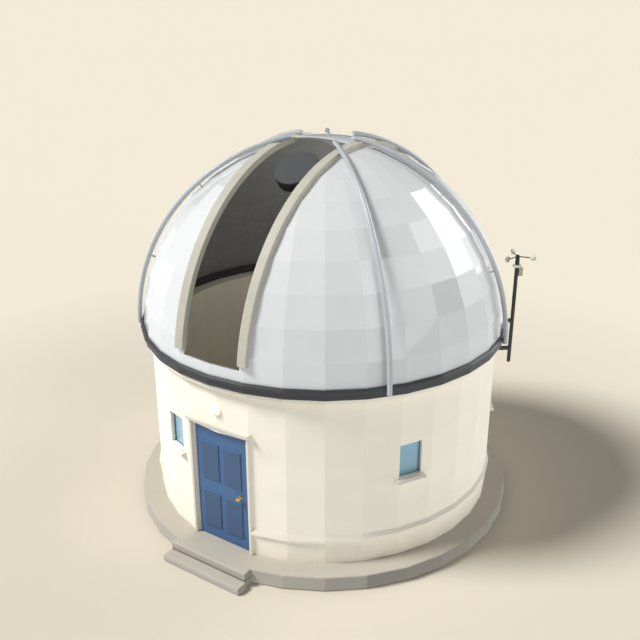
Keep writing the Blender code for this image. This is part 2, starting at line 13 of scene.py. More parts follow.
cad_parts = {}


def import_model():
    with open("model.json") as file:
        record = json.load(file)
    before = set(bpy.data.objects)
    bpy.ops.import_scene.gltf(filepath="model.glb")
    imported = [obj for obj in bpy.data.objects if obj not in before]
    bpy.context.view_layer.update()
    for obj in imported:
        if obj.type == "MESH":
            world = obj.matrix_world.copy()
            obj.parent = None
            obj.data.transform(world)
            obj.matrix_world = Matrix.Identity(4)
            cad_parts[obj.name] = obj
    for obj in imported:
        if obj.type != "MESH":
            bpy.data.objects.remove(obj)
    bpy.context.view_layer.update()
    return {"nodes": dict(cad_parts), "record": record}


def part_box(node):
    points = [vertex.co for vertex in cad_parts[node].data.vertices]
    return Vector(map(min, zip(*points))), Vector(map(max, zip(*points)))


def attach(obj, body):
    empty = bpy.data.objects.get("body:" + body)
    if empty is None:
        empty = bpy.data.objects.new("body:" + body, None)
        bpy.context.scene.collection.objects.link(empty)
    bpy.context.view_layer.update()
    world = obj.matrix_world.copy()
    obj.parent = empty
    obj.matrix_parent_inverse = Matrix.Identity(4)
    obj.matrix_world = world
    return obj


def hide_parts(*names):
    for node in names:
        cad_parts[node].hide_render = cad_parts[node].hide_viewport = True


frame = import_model()

# The building's own sizes, as in the frame
GAP = 0.0003
HALF_FACET = 5.625
DOME_CENTRE = Vector((0.0, 0.0, 3.276))
DOME_RADIUS = 3.134
DOME_SHEET = 0.04
WALL_RADIUS = 3.015
WALL_FACE = WALL_RADIUS * cos(radians(HALF_FACET)) + GAP
COURSE_CLEAR = 0.80
LAMP_HEIGHT = 2.74
WINDOW_AZIMUTHS = {
    "by_door": -20.0,
    "right": 60.0,
    "right_back": 120.0,
    "back": 180.0,
    "left_back": -120.0,
}
WINDOW_HALF = 0.20
WINDOW_SILL = 1.67
WINDOW_HEAD = 2.255
PANE_FACE = 2.93
BEAM_NEAR = 0.526
BEAM_FAR = 0.684
BEAM_OUTER = 3.125
BEAM_INNER = 3.02
BEAM_START = 6.6
SHUTTER_INNER = 3.143
SHUTTER_OUTER = 3.166
SHUTTER_HALF = 0.520
SHUTTER_FRONT = 88.0
SHUTTER_REAR = 176.4
RIB_AZIMUTHS = {"front": 50.625, "middle": 101.25, "back": 151.875}
RIB_CENTRE = 3.2133
RIB_RADIUS = 0.040
RIB_TOP = 80.3
RIB_FEET = (22.5, 49.5)
MAST_AZIMUTH = 129.375
MAST_REACH = 3.446
MAST_RADIUS = 0.034
MAST_TOP = 4.08
BRACKET_HEIGHTS = (2.50, 3.045)
BRACKET_HALF = 0.033
PIN_RADIUS = 0.008
PIN_TOP = 0.139
CUP_HEIGHT = 4.265
CUP_REACH = 0.270
CUP_RADIUS = 0.054
CUP_ANGLE = 14.0
HUB_RADIUS = 0.038
HUB_BORE = 0.0086
HUB_LOW = MAST_TOP + 0.036
HUB_CEILING = 4.2205
HUB_SHOULDER = 4.262
TUBE_PIVOT = Vector((0.0, 0.253, 4.378))
TUBE_ALTITUDE = 58.0
TUBE_RADIUS = 0.32
TUBE_BACK = -0.75
TUBE_FRONT = 1.8097
SHIELD_RADIUS = 0.375
SHIELD_FRONT = 1.96
CAP_FRONT = 2.0
TRUNNION_END = 0.44
LEAF_HALF = 0.507
LEAF_FACE = -2.93
LEAF_BACK = -2.88
LEAF_BOTTOM = 0.268
LEAF_TOP = 2.33
FIELD_EDGES = (0.05, 0.395)
FIELD_RAILS = (0.455, 1.135, 1.365, 2.045)
KNOB = Vector((0.360, LEAF_FACE, 1.235))
STEP_TOP = 0.126
PLINTH_RADIUS = 3.38

# Light and camera: each light's azimuth and elevation, and the level way to the key
KEY_FROM = (-47.7, 49.0)
KEY_SIDE = (-0.74, -0.673)
SIDE_FROM = (150.0, 25.0)
HALO_FROM = (142.0, 21.0)
RIGHT_FROM = (80.0, 20.0)
LEFT_FROM = (-90.0, 15.0)
LIGHT_FROM_BELOW = 0.943
LIGHT_FROM_ABOVE = 0.06
ROOM_LAMP = (0.0, 0.9, 4.7)
ROOM_WATTS = 52.0
FLOOR_SHADED_NEAR = (0.612, 0.560, 0.461)
FLOOR_FAR = (0.722, 0.666, 0.550)
EYE = (7.824, -11.862, 9.006)
EYE_TURN = (67.74, 0.0, 33.692)
LENS_MM = 48.54


# Shader arithmetic


class Value:
    """A shader socket in an expression: arithmetic on it adds Math nodes."""

    def __init__(self, finish, socket):
        self.finish = finish
        self.socket = socket

    def math(self, operation, *others):
        inputs = dict(enumerate((self, *others)))
        return self.finish.node("Math", {"operation": operation}, inputs)

    def __add__(self, other):
        return self.math("ADD", other)

    def __sub__(self, other):
        return self.math("SUBTRACT", other)

    def __mul__(self, other):
        return self.math("MULTIPLY", other)

    def __truediv__(self, other):
        return self.math("DIVIDE", other)

    def __rsub__(self, other):
        return self.math("MULTIPLY", -1.0) + other

    __radd__ = __add__
    __rmul__ = __mul__

    def clamp(self):
        return self.math("MAXIMUM", 0.0).math("MINIMUM", 1.0)

    def ramp(self, low, high):
        """0 at low and 1 at high, straight between them; low may be the larger."""
        return ((self - low) / (high - low)).clamp()


class Finish:
    """One material: its Principled shader and the nodes that vary it."""

    def __init__(self, name, **constants):
        self.material = bpy.data.materials.new(name)
        self.material.use_nodes = True
        self.tree = self.material.node_tree
        self.shader = self.tree.nodes["Principled BSDF"]
        for word, value in constants.items():
            label = word.replace("_", " ").title().replace("Ior", "IOR")
            self.shader.inputs[label].default_value = value

    def node(self, kind, settings=(), inputs=(), output=0):
        made = self.tree.nodes.new("ShaderNode" + kind)
        for name, value in dict(settings).items():
            setattr(made, name, value)
        for name, value in dict(inputs).items():
            self.feed(made.inputs[name], value)
        return Value(self, made.outputs[output])

    def feed(self, socket, value):
        if isinstance(value, Value):
            self.tree.links.new(value.socket, socket)
        elif isinstance(value, tuple) and len(value) == 3 and socket.type == "RGBA":
            socket.default_value = (*value, 1.0)
        else:
            socket.default_value = value

    def set(self, word, value):
        self.feed(self.shader.inputs[word], value)

    def place(self):
        return self.node("TexCoord", output="Object")

    def axes(self, vector):
        split = self.node("SeparateXYZ", inputs={0: vector})
        return [Value(self, socket) for socket in split.socket.node.outputs]

    def stretched(self, scale):
        return self.node("Mapping", inputs={"Vector": self.place(), "Scale": scale})

    def noise(self, scale, detail=4.0, roughness=0.55, vector=None):
        spot = vector or self.place()
        inputs = {"Vector": spot, "Scale": scale, "Detail": detail, "Roughness": roughness}
        return self.node("TexNoise", inputs=inputs)

    def blend(self, amount, first, second):
        inputs = {0: amount, 6: first, 7: second}
        return self.node("Mix", {"data_type": "RGBA"}, inputs, output=2)

    def bump(self, height, strength, distance):
        inputs = {"Height": height, "Strength": strength, "Distance": distance}
        self.set("Normal", self.node("Bump", inputs=inputs))

    def length(self, vector, centre):
        aside = self.node("VectorMath", {"operation": "SUBTRACT"}, {0: vector, 1: centre})
        return self.node("VectorMath", {"operation": "LENGTH"}, {0: aside}, output="Value")


def shaded(colour, factor):
    return tuple(min(1.0, part * factor) for part in colour)


# Finishes


def stone(name, colour, joints=()):
    """Dressed pale stone with painted light: tops lighter, sides that face the key light lighter
    and the other sides darker, and a painted contact shade just over each joint.
    """
    finish = Finish(name, roughness=0.9)
    cloud = finish.noise(1.3, 5.0)
    grit = finish.noise(55.0, 6.0, 0.7)
    pits = finish.noise(170.0, 3.0, 0.6)
    east, north, up = finish.axes(finish.node("NewGeometry", output="Normal"))
    # Painted light: tops lighter, sides that face the key light lighter, the other sides darker.
    top = up.ramp(0.5, 0.9)
    painted_key_side = (east * KEY_SIDE[0] + north * KEY_SIDE[1]).ramp(-0.15, 0.12)
    sides = finish.blend(painted_key_side, shaded(colour, 0.80), shaded(colour, 1.26))
    painted_lit_top = finish.blend(top, sides, shaded(colour, 1.32))
    mottled = finish.blend(cloud.ramp(0.3, 0.7) * 0.10, painted_lit_top, shaded(colour, 0.5))
    grains = (grit.ramp(0.35, 0.65) * 0.25 + pits.ramp(0.62, 0.75) * 0.35).clamp()
    tone = finish.blend(grains, mottled, shaded(colour, 0.80))
    height = finish.axes(finish.place())[2]
    # Painted contact shade: the sides are darkened just above each joint, where one part stands
    # on another.
    for joint in joints:
        above = height.ramp(joint - 0.001, joint + 0.001)
        painted_contact_shade = above * height.ramp(joint + 0.022, joint + 0.010) * (1.0 - top)
        tone = finish.blend(painted_contact_shade * 0.75, tone, shaded(colour, 0.12))
    finish.set("Base Color", tone)
    finish.set("Roughness", 0.82 + grit * 0.14)
    finish.bump(grit * 0.6 + pits * 0.4, 0.25, 0.004)
    return finish.material


def plaster(name, colour, trowel=1.0):
    """Limewashed render: trowel sweeps, fine sand, rain streaks, darker towards the foot, and
    painted shade on the up-facing top of the string course.
    """
    finish = Finish(name, roughness=0.85)
    sweep = finish.noise(1.0, 3.0, 0.5, finish.stretched((0.9, 0.9, 2.2)))
    streak = finish.noise(1.0, 4.0, 0.6, finish.stretched((9.0, 9.0, 0.45)))
    sand = finish.noise(130.0, 3.0, 0.6)
    height = finish.axes(finish.place())[2]
    # Darker towards the foot of the wall, in streaks.
    foot_darkening = height.ramp(0.62, 0.27) * (0.4 + streak * 0.6)
    tone = finish.blend(sweep.ramp(0.3, 0.7), shaded(colour, 0.975), shaded(colour, 1.015))
    tone = finish.blend(streak.ramp(0.55, 0.8) * 0.06, tone, shaded(colour, 0.8))
    tone = finish.blend(foot_darkening * 0.10, tone, shaded(colour, 0.72))
    # Painted shade: up-facing faces low on the wall, the top of the string course, are darker.
    up = finish.axes(finish.node("NewGeometry", output="Normal"))[2]
    painted_ledge_shade = up.ramp(0.20, 0.45) * height.ramp(COURSE_CLEAR + 0.05, COURSE_CLEAR)
    finish.set("Base Color", finish.blend(painted_ledge_shade, tone, shaded(colour, 0.76)))
    finish.set("Roughness", 0.80 + sand * 0.12)
    finish.bump(sand * 0.5 + sweep * trowel, 0.20, 0.006)
    return finish.material


def dome_paint(name, outside, inside):
    """Gloss white outside, flat dark grey inside."""
    finish = Finish(name, coat_weight=1.0, coat_roughness=0.03)
    reach = finish.length(finish.place(), DOME_CENTRE)
    sheet = DOME_RADIUS - DOME_SHEET
    within = reach.ramp(sheet + 0.010, sheet + 0.004)
    haze = finish.noise(2.2, 4.0)
    dust = finish.noise(1.0, 4.0, 0.6, finish.stretched((6.0, 6.0, 0.8)))
    flow = finish.blend(haze.ramp(0.35, 0.7), shaded(outside, 0.985), shaded(outside, 1.01))
    flow = finish.blend(dust.ramp(0.55, 0.85) * 0.05, flow, shaded(outside, 0.8))
    fleck = finish.noise(24.0, 3.0)
    lining = finish.blend(fleck.ramp(0.3, 0.7), shaded(inside, 0.9), shaded(inside, 1.1))
    finish.set("Base Color", finish.blend(within, flow, lining))
    finish.set("Roughness", 0.38 + haze * 0.06 + within * 0.5)
    finish.set("Coat Weight", 1.0 - within)
    finish.bump(haze, 0.02, 0.004)
    return finish.material


def paint(name, colour, roughness, wear=0.12, grain=90.0, metallic=0.0, coat=0.0):
    """Brushed or sprayed paint with slight cloudiness, fine grain and rubbed spots."""
    finish = Finish(name, metallic=metallic, coat_weight=coat, coat_roughness=0.08)
    cloud = finish.noise(3.0, 4.0)
    fine = finish.noise(grain, 3.0, 0.6)
    tone = finish.blend(cloud.ramp(0.3, 0.7), shaded(colour, 0.95), shaded(colour, 1.04))
    rubbed = cloud.ramp(0.58, 0.72) * fine.ramp(0.5, 0.75)
    finish.set("Base Color", finish.blend(rubbed * wear, tone, shaded(colour, 0.7)))
    finish.set("Roughness", roughness + (fine - 0.5) * 0.10 + rubbed * 0.08)
    finish.bump(fine, 0.06, 0.002)
    return finish.material


def door_paint(name, frame_blue, field_blue):
    """Satin paint; the raised fields are drier and greyer than the frame around them."""
    finish = Finish(name)
    across, inward, height = finish.axes(finish.place())
    field = inward.ramp(LEAF_FACE - 0.013, LEAF_FACE - 0.016)
    brush = finish.noise(1.0, 4.0, 0.6, finish.stretched((70.0, 70.0, 2.0)))
    cloud = finish.noise(2.5, 3.0)
    tone = finish.blend(field, frame_blue, field_blue)
    darker = finish.blend(0.12, tone, (0.01, 0.02, 0.04))
    finish.set("Base Color", finish.blend(brush.ramp(0.3, 0.7) * cloud, tone, darker))
    finish.set("Roughness", 0.40 + brush * 0.12 + field * 0.08)
    finish.bump(brush, 0.08, 0.002)
    return finish.material


def window_glass(name, colour):
    """Dark-backed glass with the pale blue of the sky in it as a painted reflection: painted
    lighter towards the head and darker to the foot.
    """
    finish = Finish(name, roughness=0.12, coat_weight=0.6, coat_roughness=0.04)
    height = finish.axes(finish.place())[2]
    ripple = finish.noise(4.0, 2.0)
    # Painted reflection of the sky: lighter towards the head, darker to the foot.
    painted_sky_fade = height.ramp(WINDOW_SILL, WINDOW_HEAD)
    tone = finish.blend(painted_sky_fade, shaded(colour, 0.94), shaded(colour, 1.05))
    rippled = ripple.ramp(0.4, 0.6) * 0.3
    finish.set("Base Color", finish.blend(rippled, tone, shaded(colour, 0.93)))
    finish.set("Roughness", 0.10 + ripple * 0.06)
    finish.bump(ripple, 0.02, 0.004)
    return finish.material


def brass(name):
    """Polished yellow brass with patches of tarnish."""
    finish = Finish(name, metallic=1.0)
    tarnish = finish.noise(40.0, 4.0)
    bright, dull = (0.95, 0.60, 0.16), (0.62, 0.36, 0.10)
    finish.set("Base Color", finish.blend(tarnish.ramp(0.45, 0.75), bright, dull))
    finish.set("Roughness", 0.22 + tarnish * 0.18)
    return finish.material


def lamp_glass(name):
    """Frosted white glass with a faint glow of its own."""
    glow = (1.0, 0.98, 0.93, 1.0)
    finish = Finish(name, roughness=0.35, emission_color=glow, emission_strength=0.25)
    cloud = finish.noise(12.0, 3.0)
    finish.set("Base Color", finish.blend(cloud, (0.90, 0.89, 0.85), (0.96, 0.95, 0.92)))
    finish.set("Roughness", 0.30 + cloud * 0.15)
    return finish.material


FINISHES = {
    "plinth_stone": stone("plinth_stone", (0.360, 0.332, 0.280), (0.0,)),
    "step_stone": stone("step_stone", (0.360, 0.332, 0.280), (0.0, STEP_TOP)),
    "sill_stone": stone("sill_stone", (0.79, 0.725, 0.63)),
    "cream_plaster": plaster("cream_plaster", (0.945, 0.885, 0.745)),
    "trim_plaster": plaster("trim_plaster", (0.72, 0.67, 0.57), trowel=0.3),
    "pier_concrete": stone("pier_concrete", (0.42, 0.40, 0.36)),
    "track_steel": paint("track_steel", (0.30, 0.30, 0.30), 0.35, 0.3, 60.0, metallic=1.0),
    "lamp_white": lamp_glass("lamp_white"),
    "door_blue": door_paint("door_blue", (0.051, 0.129, 0.275), (0.051, 0.098, 0.189)),
    "knob_brass": brass("knob_brass"),
    "window_glass": window_glass("window_glass", (0.245, 0.445, 0.560)),
    "bead_blue": paint("bead_blue", (0.10, 0.20, 0.27), 0.5),
    "mast_dark": paint("mast_dark", (0.030, 0.031, 0.030), 0.50, 0.3),
    "hub_black": paint("hub_black", (0.012, 0.012, 0.013), 0.40, 0.2),
    "cup_ivory": paint("cup_ivory", (0.62, 0.58, 0.48), 0.45, 0.15),
    "collar_white": paint("collar_white", (0.74, 0.72, 0.64), 0.45, 0.15),
    "sensor_tan": paint("sensor_tan", (0.55, 0.46, 0.36), 0.6),
    "ring_dark": paint("ring_dark", (0.036, 0.038, 0.041), 0.45, 0.35, 70.0),
    "dome_white": dome_paint("dome_white", (0.678, 0.697, 0.690), (0.26, 0.26, 0.25)),
    "shutter_white": paint("shutter_white", (0.72, 0.745, 0.745), 0.30, 0.05, 60.0, coat=1.0),
    "beam_cream": paint("beam_cream", (0.478, 0.456, 0.379), 0.55, 0.10),
    "rib_grey": paint("rib_grey", (0.435, 0.459, 0.474), 0.32, 0.10, 60.0, coat=0.9),
    "tube_grey": paint("tube_grey", (0.48, 0.47, 0.42), 0.42, 0.10),
    "shield_black": paint("shield_black", (0.016, 0.018, 0.020), 0.45, 0.2),
    "cap_grey": paint("cap_grey", (0.068, 0.070, 0.075), 0.55, 0.15),
}


# Making pieces


def body_of(node):
    for body, members in frame["record"]["behaviour"]["bodies"].items():
        if node in members:
            return body
    raise ValueError(node)


def slot_of(node):
    for entry in frame["record"]["subparts"]:
        if entry["node"] == node:
            return entry["material_slot"]
    raise ValueError(node)


def piece(name, bm, body, finish, replaced=(), sharp=35.0):
    """Makes an object of a bmesh. sharp is the angle from which edges stay crisp."""
    mesh = bpy.data.meshes.new(name)
    bm.to_mesh(mesh)
    bm.free()
    item = bpy.data.objects.new(name, mesh)
    bpy.context.scene.collection.objects.link(item)
    mesh.materials.append(FINISHES[finish])
    if sharp is not None:
        mesh.shade_smooth()
        mesh.set_sharp_from_angle(angle=radians(sharp))
        shading = item.modifiers.new("even_shading", "WEIGHTED_NORMAL")
        shading.keep_sharp = True
    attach(item, body)
    if replaced:
        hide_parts(*replaced)
    return item


def merged(node):
    """A welded copy of a frame node, with its flat faces whole again."""
    bm = bmesh.new()
    bm.from_mesh(frame["nodes"][node].data)
    bmesh.ops.remove_doubles(bm, verts=bm.verts, dist=2e-5)
    bmesh.ops.dissolve_limit(
        bm, angle_limit=radians(0.3), verts=bm.verts, edges=bm.edges, delimit=set()
    )
    return bm


def round_edges(bm, width, segments=3, least=25.0, kept=()):
    """Rounds every edge that turns more than the least angle, but not the kept ones."""
    edges = [edge for edge in bm.edges if edge.calc_face_angle(0.0) > radians(least)]
    edges = [edge for edge in edges if edge not in kept]
    bmesh.ops.bevel(
        bm,
        geom=edges,
        offset=width,
        offset_type="OFFSET",
        segments=segments,
        profile=0.5,
        affect="EDGES",
        clamp_overlap=True,
        material=-1,
    )
    return bm


def soften(node, finish, width, segments=3, sharp=35.0):
    """Stands a round-edged copy in for a frame node."""
    bm = round_edges(merged(node), width, segments)
    return piece(node + "_soft", bm, body_of(node), finish, [node], sharp)


def box(low, high):
    """A block between two corners."""
    bm = bmesh.new()
    bmesh.ops.create_cube(bm, size=1.0)
    size = [b - a for a, b in zip(low, high)]
    middle = [(a + b) / 2 for a, b in zip(low, high)]
    bmesh.ops.scale(bm, vec=size, verts=bm.verts)
    bmesh.ops.translate(bm, vec=middle, verts=bm.verts)
    return bm


def join(*parts):
    """One bmesh with all the given shapes in it."""
    whole = bmesh.new()
    for part in parts:
        scratch = bpy.data.meshes.new("scratch")
        part.to_mesh(scratch)
        part.free()
        whole.from_mesh(scratch)
        bpy.data.meshes.remove(scratch)
    return whole


def turned(profile, start, along, steps=64):
    """A lathe: (radius, distance) points, from axis to axis, turned about a line."""
    bm = bmesh.new()
    verts = [bm.verts.new((radius, 0.0, height)) for radius, height in profile]
    edges = [bm.edges.new(pair) for pair in zip(verts, verts[1:])]
    bmesh.ops.spin(
        bm,
        geom=verts + edges,
        axis=(0.0, 0.0, 1.0),
        cent=(0.0, 0.0, 0.0),
        angle=2 * pi,
        steps=steps,
        use_merge=True,
    )
    bmesh.ops.remove_doubles(bm, verts=bm.verts, dist=1e-6)
    bmesh.ops.recalc_face_normals(bm, faces=bm.faces)
    lie = Vector(along).normalized().to_track_quat("Z", "Y").to_matrix().to_4x4()
    bmesh.ops.transform(bm, matrix=Matrix.Translation(start) @ lie, verts=bm.verts)
    return bm


def arc(radius, centre_radius, centre_height, first, last, steps):
    """Points of a round corner for a lathe profile, by angle from the radius axis."""
    points = []
    for index in range(steps + 1):
        angle = radians(first + (last - first) * index / steps)
        aside, rise = radius * cos(angle), radius * sin(angle)
        points.append((centre_radius + aside, centre_height + rise))
    return points


def over_dome(outline, first, last, steps):
    """Sweeps a closed (radius, x) outline up from -Y over the dome's crown."""
    bm = bmesh.new()
    verts = [bm.verts.new((aside, -radius, 0.0)) for radius, aside in outline]
    edges = [bm.edges.new(pair) for pair in zip(verts, verts[1:] + verts[:1])]
    line = Vector((-1.0, 0.0, 0.0))
    bmesh.ops.transform(bm, matrix=Matrix.Rotation(radians(first), 4, line), verts=bm.verts)
    bmesh.ops.spin(
        bm,
        geom=verts + edges,
        axis=line,
        cent=(0.0, 0.0, 0.0),
        angle=radians(last - first),
        steps=steps,
    )
    rims = [edge for edge in bm.edges if edge.is_boundary]
    bmesh.ops.holes_fill(bm, edges=rims, sides=0)
    bmesh.ops.recalc_face_normals(bm, faces=bm.faces)
    bmesh.ops.translate(bm, vec=DOME_CENTRE, verts=bm.verts)
    return bm


def polar(radius, azimuth, z):
    """The point at a radius from the building's axis."""
    angle = radians(azimuth)
    return Vector((radius * sin(angle), -radius * cos(angle), z))


def turn(azimuth):
    return Matrix.Rotation(radians(azimuth), 4, "Z")


# Stone, door surround and windows


def dress_masonry():
    """Round-edged plinth, steps, door surround and window sills."""
    bm = merged("plinth")
    by_door = [edge for edge in bm.edges if beside_landing(edge)]
    round_edges(bm, 0.022, 3, 25.0, by_door)
    piece("plinth_soft", bm, "building", "plinth_stone", ["plinth"], sharp=None)
    bm = merged("landing_slab")
    seam = [edge for edge in bm.edges if against_plinth(edge)]
    round_edges(bm, 0.028, 3, 25.0, seam)
    piece("landing_slab_soft", bm, "building", "step_stone", ["landing_slab"])
    soften("entrance_step", "step_stone", 0.028)
    soften("door_jamb_left", "trim_plaster", 0.008, 2)
    soften("door_jamb_right", "trim_plaster", 0.008, 2)
    soften("door_lintel", "trim_plaster", 0.012, 3)
    for place, azimuth in WINDOW_AZIMUTHS.items():
        node = "window_sill_" + place
        slip = box(
            (0.001 - WINDOW_HALF, -3.03, WINDOW_SILL + GAP),
            (WINDOW_HALF - 0.001, -PANE_FACE - 0.015, WINDOW_SILL + 0.005),
        )
        bmesh.ops.transform(slip, matrix=turn(azimuth), verts=slip.verts)
        bm = join(round_edges(merged(node), 0.010, 2), slip)
        piece(node + "_soft", bm, "building", "sill_stone", [node])


def beside_landing(edge):
    """True for the plinth's rim edges that the landing meets flush."""
    middle = (edge.verts[0].co + edge.verts[1].co) / 2
    return middle.y < -3.2 and abs(middle.x) < 0.7


def against_plinth(edge):
    """True for the landing's edges that lie on the plinth's face."""
    return all(vert.co.xy.length < PLINTH_RADIUS + 0.002 for vert in edge.verts)


def window_beads():
    """A slim bead holds each pane to its opening."""
    for place, azimuth in WINDOW_AZIMUTHS.items():
        bm = bmesh.new()
        bmesh.ops.create_grid(bm, x_segments=1, y_segments=1, size=1.0)
        bmesh.ops.scale(
            bm,
            vec=(WINDOW_HALF - 0.0008, (WINDOW_HEAD - WINDOW_SILL) / 2 - 0.0008, 1.0),
            verts=bm.verts,
        )
        inner = bmesh.ops.inset_individual(bm, faces=bm.faces[:], thickness=0.012)
        rim = [face for face in bm.faces if face in inner["faces"]]
        pane = [face for face in bm.faces if face not in rim]
        bmesh.ops.delete(bm, geom=pane, context="FACES_ONLY")
        raised = bmesh.ops.extrude_face_region(bm, geom=bm.faces[:])
        lifted = [part for part in raised["geom"] if isinstance(part, bmesh.types.BMVert)]
        bmesh.ops.translate(bm, vec=(0.0, 0.0, 0.014), verts=lifted)
        bmesh.ops.recalc_face_normals(bm, faces=bm.faces)
        round_edges(bm, 0.003, 2)
        upright = Matrix.Rotation(pi / 2, 4, "X")
        middle = (WINDOW_SILL + WINDOW_HEAD) / 2
        seat = Matrix.Translation((0.0, -PANE_FACE - 0.0005, middle))
        bmesh.ops.transform(bm, matrix=turn(azimuth) @ seat @ upright, verts=bm.verts)
        piece("window_bead_" + place, bm, "building", "bead_blue")


def door_leaf():
    """A flush slab whose face is cut into a grid, and four of its fields raised."""
    bm = box((-LEAF_HALF, LEAF_FACE, LEAF_BOTTOM), (LEAF_HALF, LEAF_BACK, LEAF_TOP))
    near, far = FIELD_EDGES
    low, middle_low, middle_high, high = FIELD_RAILS
    for across in (-far, -near, near, far):
        cut(bm, (across, 0.0, 0.0), (1.0, 0.0, 0.0))
    for height in FIELD_RAILS:
        cut(bm, (0.0, 0.0, height), (0.0, 0.0, 1.0))
    fields = []
    for face in bm.faces:
        middle = face.calc_center_median()
        in_column = near < abs(middle.x) < far
        in_row = low < middle.z < middle_low or middle_high < middle.z < high
        if face.normal.y < -0.5 and in_column and in_row:
            fields.append(face)
    bmesh.ops.inset_individual(bm, faces=fields, thickness=0.008, depth=0.018)
    round_edges(bm, 0.003, 2, 40.0)
    piece("door_leaf_panelled", bm, "door", "door_blue", ["door_leaf"])
    stem = [(0.0, 0.0), (0.032, 0.0), (0.032, 0.004), (0.027, 0.008), (0.013, 0.010)]
    ball = arc(0.040, 0.0, 0.065, -68.0, 90.0, 14)
    knob = turned(stem + ball, KNOB - Vector((0.0, GAP, 0.0)), (0.0, -1.0, 0.0), 40)
    piece("door_knob_turned", knob, "door", "knob_brass", ["door_knob"])


def cut(bm, point, normal):
    geometry = bm.verts[:] + bm.edges[:] + bm.faces[:]
    bmesh.ops.bisect_plane(bm, geom=geometry, dist=1e-6, plane_co=point, plane_no=normal)


def lamp():
    """A round bulkhead lamp over the door: a low rim and a frosted bowl."""
    seat = Vector((0.0, -WALL_RADIUS - GAP, LAMP_HEIGHT))
    profile = [(0.0, 0.0), (0.098, 0.0), (0.098, 0.016), (0.090, 0.022)]
    for degree in range(5, 91, 5):
        angle = radians(degree)
        profile.append((0.082 * cos(angle), 0.020 + 0.048 * sin(angle)))
    bowl = turned(profile, seat, (0.0, -1.0, 0.0), 48)
    piece("wall_lamp_bowl", bowl, "building", "lamp_white", ["wall_lamp"])


# Dome


def arch_beams():
    """Two square beams that follow the dome, one on each side of the slit."""
    for side, name in ((-1.0, "left"), (1.0, "right")):
        near, far = side * BEAM_NEAR, side * BEAM_FAR
        outline = [(BEAM_OUTER, near), (BEAM_OUTER, far), (BEAM_INNER, far), (BEAM_INNER, near)]
        bm = over_dome(outline, BEAM_START, 180.0 - BEAM_START, 96)
        round_edges(bm, 0.010, 2, 60.0)
        node = "arch_beam_" + name
        piece(node + "_curved", bm, "dome", "beam_cream", [node])


def shutter():
    """A thin curved sheet with a folded front lip, which hangs in the slit."""
    across = 20
    reach = degrees(asin(SHUTTER_HALF / SHUTTER_INNER))
    outer = []
    inner = []
    for index in range(across + 1):
        tilt = radians(-reach + 2 * reach * index / across)
        aside = SHUTTER_INNER * sin(tilt)
        outer.append((SHUTTER_OUTER * cos(tilt), aside))
        inner.append((SHUTTER_INNER * cos(tilt), aside))
    sheet = over_dome(outer + inner[::-1], SHUTTER_FRONT, SHUTTER_REAR, 96)
    round_edges(sheet, 0.007, 2, 60.0)
    lip_half = SHUTTER_HALF - 0.006
    lip_outer = []
    lip_inner = []
    for index in range(across + 1):
        aside = -lip_half + 2 * lip_half * index / across
        drop = sqrt(SHUTTER_INNER**2 - aside**2)
        lip_outer.append((drop + 0.004, aside))
        lip_inner.append((drop - 0.030, aside))
    lip = over_dome(lip_outer + lip_inner[::-1], SHUTTER_FRONT + 0.35, SHUTTER_FRONT + 0.95, 2)
    round_edges(lip, 0.004, 2, 60.0)
    bm = join(sheet, lip)
    piece("slit_shutter_curved", bm, "shutter", "shutter_white", ["slit_shutter"])


def sphere_point(radius, azimuth, height):
    """The point at a radius from the dome's centre, with its height in degrees."""
    rise = radians(height)
    return DOME_CENTRE + polar(radius * cos(rise), azimuth, radius * sin(rise))


def ribs():
    """Bent pipes on short feet, from the base ring up to beside the beams."""
    for side, name in ((1.0, "right"), (-1.0, "left")):
        for place, azimuth in RIB_AZIMUTHS.items():
            node = f"rib_{name}_{place}"
            low = (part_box(node)[0].z - DOME_CENTRE.z) / RIB_CENTRE
            pipe = bent_pipe(side * azimuth, degrees(asin(low)), RIB_TOP)
            feet = []
            for height in RIB_FEET:
                foot = sphere_point(DOME_RADIUS - 0.03, side * azimuth, height)
                along = sphere_point(RIB_CENTRE, side * azimuth, height) - foot
                profile = [(0.0, 0.0), (0.012, 0.0), (0.012, along.length), (0.0, along.length)]
                feet.append(turned(profile, foot, along, 20))
            bm = join(pipe, *feet)
            piece(node + "_pipe", bm, "dome", "rib_grey", [node])


def bent_pipe(azimuth, low, high):
    """A pipe with rounded closed ends, which follows the dome between two heights in degrees."""
    bm = bmesh.new()
    bmesh.ops.create_circle(bm, segments=28, radius=RIB_RADIUS)
    lift = Matrix.Translation((0.0, -RIB_CENTRE, 0.0))
    bmesh.ops.transform(bm, matrix=lift, verts=bm.verts)
    line = Vector((-1.0, 0.0, 0.0))
    bmesh.ops.transform(bm, matrix=Matrix.Rotation(radians(low), 4, line), verts=bm.verts)
    bmesh.ops.spin(
        bm,
        geom=bm.verts[:] + bm.edges[:],
        axis=line,
        cent=(0.0, 0.0, 0.0),
        angle=radians(high - low),
        steps=72,
    )
    rims = [edge for edge in bm.edges if edge.is_boundary]
    bmesh.ops.holes_fill(bm, edges=rims, sides=0)
    bmesh.ops.recalc_face_normals(bm, faces=bm.faces)
    round_edges(bm, 0.006, 2, 60.0)
    place = Matrix.Translation(DOME_CENTRE) @ turn(azimuth)
    bmesh.ops.transform(bm, matrix=place, verts=bm.verts)
    return bm


# Telescope


